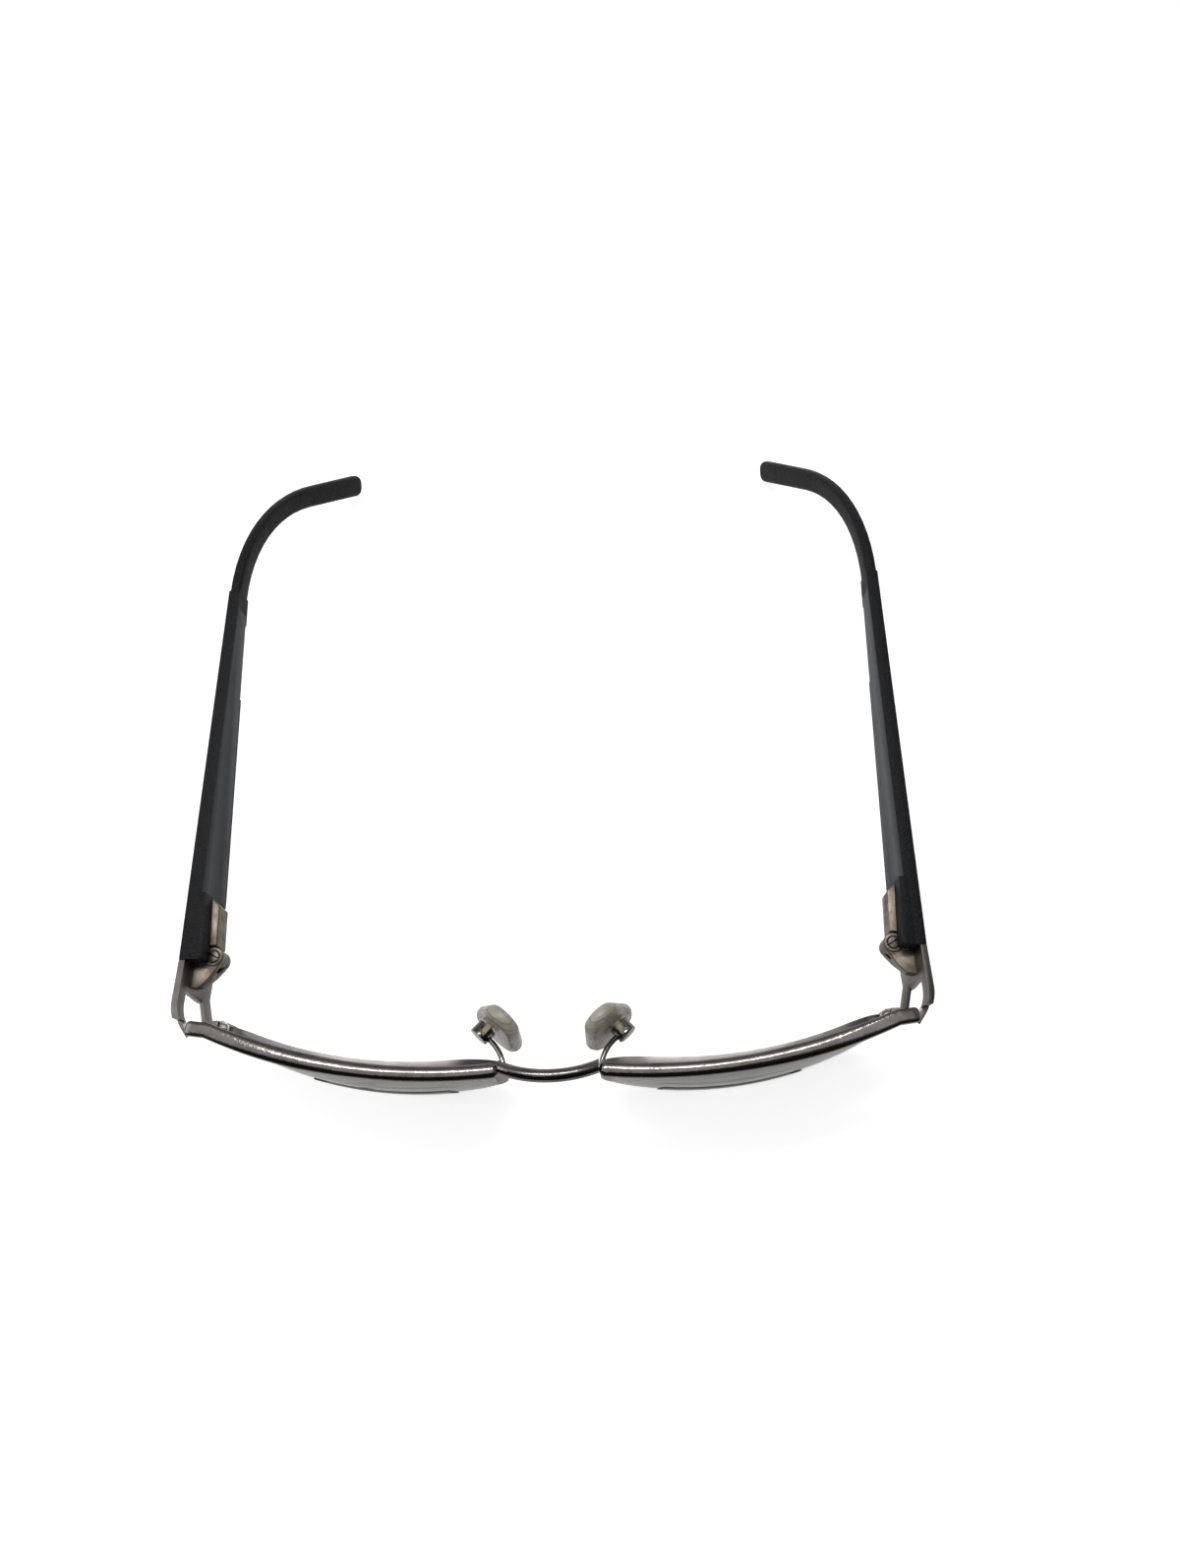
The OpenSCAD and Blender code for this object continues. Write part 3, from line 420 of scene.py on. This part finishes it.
def brow_point(x):
    """A point of the bar's middle line: an arc, then straight on to the end piece."""
    on_arc = min(x, BROW_KNEE)
    slope = (BROW_END_Y - brow_arc(BROW_KNEE)) / (BROW_END - BROW_KNEE)
    arch = (x - LENS_X) ** 2 / (2 * BROW_ARCH_R)
    return Vector((x, brow_arc(on_arc) + slope * (x - on_arc), BROW_LEVEL - arch))


def brow_stations():
    """Where along X the bar's rings lie, closer together at its ends."""
    quarter = math.pi / 2
    body = BROW_END - BROW_START - INNER_ROUND - OUTER_ROUND
    inner = [BROW_START + INNER_ROUND * (1 - math.cos(quarter * i / INNER_STEPS))
             for i in range(INNER_STEPS)]
    middle = [BROW_START + INNER_ROUND + body * i / BODY_STEPS for i in range(BODY_STEPS + 1)]
    outer = [BROW_END - OUTER_ROUND * (1 - math.sin(quarter * i / OUTER_STEPS))
             for i in range(1, OUTER_STEPS + 1)]
    return inner + middle + outer


def brow_bar_mesh(side):
    rings = []
    for x in brow_stations():
        share = (x - BROW_START) / (BROW_END - BROW_START)
        along = (brow_point(x + 0.1) - brow_point(x - 0.1)).normalized()
        out = along.cross(Vector((0, 0, 1))).normalized()
        upward = out.cross(along)
        depth = BAR_DEPTH + BAR_SWELL * eased(1 - abs(share - WIDEST) / EASING)
        squared = eased((share - SQUARE_FROM) / EASING)
        power = ROUND_POWER + (SQUARE_POWER - ROUND_POWER) * squared
        near_end = max(0, 1 - (x - BROW_START) / INNER_ROUND, 1 - (BROW_END - x) / OUTER_ROUND)
        shrink = max(LAST_RING, math.sqrt(max(0, 1 - near_end ** 2)))
        ring = oval(brow_point(x), out, upward, depth / 2 * shrink, BAR_HALF_UP * shrink,
                    OVAL_POINTS, power)
        rings.append([place(p, side) for p in ring])
    return lofted("brow_bar", rings)


for label, side in SIDES:
    finished(f"polished_brow_{label}", brow_bar_mesh(side), polished, "front",
             [f"brow_bar_{label}"])


# Geometry Nodes: curves with a round section, from named sizes
def geometry_group(name, inputs):
    return new_group("GeometryNodeTree", name, inputs, {"Geometry": "Geometry"})


def close_tree(tree, outs, curve, radius, sides, material):
    """Gives a curve its round section and ends the tree."""
    section = put(tree, "GeometryNodeCurvePrimitiveCircle", {
        "Resolution": sides, "Radius": radius})
    tube = put(tree, "GeometryNodeCurveToMesh", {
        "Curve": curve, "Profile Curve": section.outputs[0], "Fill Caps": True})
    whole = put(tree, "GeometryNodeRealizeInstances", {0: tube.outputs[0]})
    dressed = put(tree, "GeometryNodeSetMaterial", {0: whole.outputs[0], "Material": material})
    tree.links.new(dressed.outputs[0], outs.inputs[0])


def make_wire_tree():
    """A wire from Start to End, drawn towards its two bends."""
    nowhere = ("Vector", (0, 0, 0))
    tree, ins, outs = geometry_group("bent_wire", {
        "Start": nowhere, "Start Bend": nowhere, "End Bend": nowhere, "End": nowhere,
        "Wire Radius": ("Float", 0.0005), "Metal": ("Material", None)})
    path = put(tree, "GeometryNodeCurvePrimitiveBezierSegment", {
        "Resolution": 28, "Start": ins.outputs["Start"],
        "Start Handle": ins.outputs["Start Bend"],
        "End Handle": ins.outputs["End Bend"], "End": ins.outputs["End"]})
    close_tree(
        tree, outs, path.outputs[0], ins.outputs["Wire Radius"], 20, ins.outputs["Metal"])
    return tree


def make_coil_tree():
    """A coil spring that runs back along Y from a place."""
    tree, ins, outs = geometry_group("coil", {
        "Place": ("Vector", (0, 0, 0)), "Turns": ("Float", 8.0),
        "Coil Radius": ("Float", 0.0007), "Length": ("Float", 0.005),
        "Wire Radius": ("Float", 0.0001), "Metal": ("Material", None)})
    path = put(tree, "GeometryNodeCurveSpiral", {
        "Resolution": 16, "Rotations": ins.outputs["Turns"],
        "Start Radius": ins.outputs["Coil Radius"],
        "End Radius": ins.outputs["Coil Radius"], "Height": ins.outputs["Length"]})
    laid = put(tree, "GeometryNodeTransform", {
        0: path.outputs[0], "Translation": ins.outputs["Place"],
        "Rotation": (-math.pi / 2, 0, 0)})
    close_tree(
        tree, outs, laid.outputs[0], ins.outputs["Wire Radius"], 8, ins.outputs["Metal"])
    return tree


def grown(name, tree, values):
    """The plain mesh that a Geometry Nodes tree makes from named values."""
    def weld(shape):
        bmesh.ops.remove_doubles(shape, verts=shape.verts, dist=1e-7)

    holder = bpy.data.objects.new(name, bpy.data.meshes.new(name))
    bpy.context.scene.collection.objects.link(holder)
    modifier = holder.modifiers.new(name, "NODES")
    modifier.node_group = tree
    for item in tree.interface.items_tree:
        if item.in_out == "INPUT" and item.name in values:
            modifier[item.identifier] = values[item.name]
    shown = holder.evaluated_get(bpy.context.evaluated_depsgraph_get())
    mesh = bpy.data.meshes.new_from_object(shown)
    bpy.data.objects.remove(holder)
    return reshaped(mesh, weld)


# Ball on which each lens and rim lies
BASE_R, WRAP, PANTO = 72.0, math.radians(8), math.radians(2.5)
BALL = Vector((
    LENS_X - BASE_R * math.cos(PANTO) * math.sin(WRAP),
    BASE_R * math.cos(PANTO) * math.cos(WRAP) - LENS_AHEAD,
    BASE_R * math.sin(PANTO) - LENS_DOWN))
# Pad arm: its foot out and up from the lens's middle and in from the ball, how far it leaves
# the rim before it bends, and its end by the pad's pin
ARM_FOOT, ARM_FOOT_IN, ARM_REACH = (-25.65, 6.2), 0.94, 2.9
ARM_END = PAD_SCREW + Vector((-0.55, -1.5, 0.1))
# Front end of the coil in the spring case
COIL_START = (63.9, 3.42, -5.65)
# Curved pieces stay smooth up to this angle
CURVED = 60


def on_ball(u, v, r):
    """A point u out and v up from the lens's middle, at a radius of the ball."""
    w = math.sqrt(r * r - u * u - v * v)
    f = v * math.sin(PANTO) + w * math.cos(PANTO)
    return BALL + Vector((
        u * math.cos(WRAP) + f * math.sin(WRAP), u * math.sin(WRAP) - f * math.cos(WRAP),
        v * math.cos(PANTO) - w * math.sin(PANTO)))


wire_tree = make_wire_tree()
coil_tree = make_coil_tree()
arm_start = on_ball(*ARM_FOOT, BASE_R - ARM_FOOT_IN)
arm_knee = arm_start + ARM_REACH * (BALL - arm_start).normalized()
for label, side in SIDES:
    wire = grown("wire", wire_tree, {
        "Start": place(arm_start, side),
        "Start Bend": place(arm_start + (arm_knee - arm_start) * 2 / 3, side),
        "End Bend": place(ARM_END + (arm_knee - ARM_END) * 2 / 3, side),
        "End": place(ARM_END, side), "Wire Radius": 0.0005, "Metal": polished})
    finished(f"pad_wire_{label}", wire, polished, "front",
             [f"pad_arm_{label}"], CURVED)
    coil = grown("coil", coil_tree, {
        "Place": place(COIL_START, side), "Turns": 9.0, "Coil Radius": 0.00074,
        "Length": 0.0049, "Wire Radius": 0.00014, "Metal": steel})
    finished(f"coil_spring_{label}", coil, steel, f"arm_{label}",
             [f"flex_spring_{label}"], CURVED)

# CAD nodes with rounded edges: node, edge radius in metres, material, body, slot
HARDWARE = (
    ("eyewire", 1.2e-4, rim_metal, "front", "frame_metal"),
    ("rim_lock", 1.5e-4, satin, "front", "frame_metal"),
    ("lock_screw", 8e-5, steel, "front", "screw_steel"),
    ("end_piece", 3.2e-4, satin, "front", "frame_metal"),
    ("hinge_leaf", 2.0e-4, grained, "front", "hinge_metal"),
    ("hinge_knuckle", 2.0e-4, grained, "front", "hinge_metal"),
    ("hinge_screw", 8e-5, steel, "front", "screw_steel"),
    ("flex_tongue", 1.2e-4, steel, "tongue", "screw_steel"),
    ("flex_nut", 6e-5, brass, "tongue", "brass"),
    ("flex_stop", 6e-5, brass, "arm", "brass"),
    ("spring_case", 2.5e-4, grained, "arm", "hinge_metal"),
    ("temple_core", 1e-4, steel, "arm", "screw_steel"),
    ("temple", 4.5e-4, grained_black, "arm", "temple_black"),
    ("temple_bed", 4.0e-4, grained_black, "arm", "temple_black"),
    ("temple_tip", 1e-6, grained_black, "arm", "temple_black"),
    ("temple_liner", 1.2e-4, smooth_grey, "arm", "temple_grey"),
    ("pad_cup", 6.0e-4, polished, "front", "frame_metal"),
    ("pad_screw", 1e-4, steel, "front", "screw_steel"),
    ("pad_insert", 1e-4, pad_core, "pad", "pad_core"),
    ("nose_pad", 3e-4, pad_silicone, "pad", "pad_silicone"),
)
for node, width, material, body, slot in HARDWARE:
    for label, side in SIDES:
        whose = body if body == "front" else f"{body}_{label}"
        finished(f"rounded_{node}_{label}", rounded(f"{node}_{label}", width), material, whose,
                 [f"{node}_{label}"])

# CAD nodes shown as they are
for name, material in (
        ("bridge", polished), ("lens_left", lens_glass), ("lens_right", lens_glass)):
    nodes[name].data.materials.clear()
    nodes[name].data.materials.append(material)
    nodes[name].data.shade_smooth()


# Stage: a pale floor that still takes the shadow, soft lamps and a studio world
WHITE = (1, 1, 1, 1)
FLOOR_HALF, FLOOR_GREY = 3, (0.5, 0.5, 0.5, 1)
# The floor's own light, and the share of it that glossy and clear pieces see
FLOOR_GLOW, MIRRORED_SHARE = 0.80, 0.5
# The world's tone in front and behind, and how far round the turn from one to the other is
FRONT_TONE, BACK_TONE, TURN = (0.03, 0.03, 0.032, 1), (0.42, 0.42, 0.42, 1), 0.35
LAMP_TARGET = (0, -0.03, 0)
# Lamps: name, place and sizes in metres, power in watts
LAMPS = (
    ("overhead_softbox", (-0.1, 0.12, 1.0), 1.1, 0.9, 2.7),
    ("overhead_strip", (-0.05, 0.17, 0.7), 0.5, 0.07, 2.2),
    ("left_softbox", (-0.85, 0.1, 0.55), 0.7, 0.7, 2.6),
)


def make_floor():
    half = FLOOR_HALF
    mesh = bpy.data.meshes.new("floor")
    mesh.from_pydata(
        [(-half, -half, 0), (half, -half, 0), (half, half, 0), (-half, half, 0)], [],
        [(0, 1, 2, 3)])
    floor = bpy.data.objects.new("floor", mesh)
    bpy.context.scene.collection.objects.link(floor)
    made, tree, shader = blank_material("pale_floor", {
        "Base Color": FLOOR_GREY, "Roughness": 0.9, "Specular IOR Level": 0.0,
        "Emission Color": WHITE})
    rays = put(tree, "ShaderNodeLightPath").outputs
    mirrored = sum_of(tree, "MAXIMUM", rays["Is Glossy Ray"], rays["Is Transmission Ray"])
    shared = sum_of(tree, "MULTIPLY", mirrored, MIRRORED_SHARE)
    seen = sum_of(tree, "MAXIMUM", rays["Is Camera Ray"], shared)
    tree.links.new(
        sum_of(tree, "MULTIPLY", seen, FLOOR_GLOW), shader.inputs["Emission Strength"])
    mesh.materials.append(made)


def make_lamp(name, location, width, depth, power):
    lamp = bpy.data.lights.new(name, "AREA")
    lamp.shape, lamp.size, lamp.size_y, lamp.energy = "RECTANGLE", width, depth, power
    made = bpy.data.objects.new(name, lamp)
    bpy.context.scene.collection.objects.link(made)
    aim = Vector(LAMP_TARGET) - Vector(location)
    made.location = location
    made.rotation_euler = aim.to_track_quat("-Z", "Y").to_euler()
    made.visible_camera = False


def make_world():
    world = bpy.data.worlds.new("studio")
    bpy.context.scene.world = world
    world.use_nodes = True
    tree = world.node_tree
    tree.nodes.clear()
    way = put(tree, "ShaderNodeTexCoord").outputs["Generated"]
    behind = put(tree, "ShaderNodeSeparateXYZ", {0: way}).outputs[1]
    tone = blend(tree, ramp(tree, behind, -TURN, TURN), FRONT_TONE, BACK_TONE)
    camera_ray = put(tree, "ShaderNodeLightPath").outputs["Is Camera Ray"]
    light = put(tree, "ShaderNodeBackground", {
        "Color": blend(tree, camera_ray, tone, WHITE), "Strength": 1.0})
    tree.links.new(light.outputs[0], put(tree, "ShaderNodeOutputWorld").inputs[0])


make_floor()
for lamp_values in LAMPS:
    make_lamp(*lamp_values)
make_world()
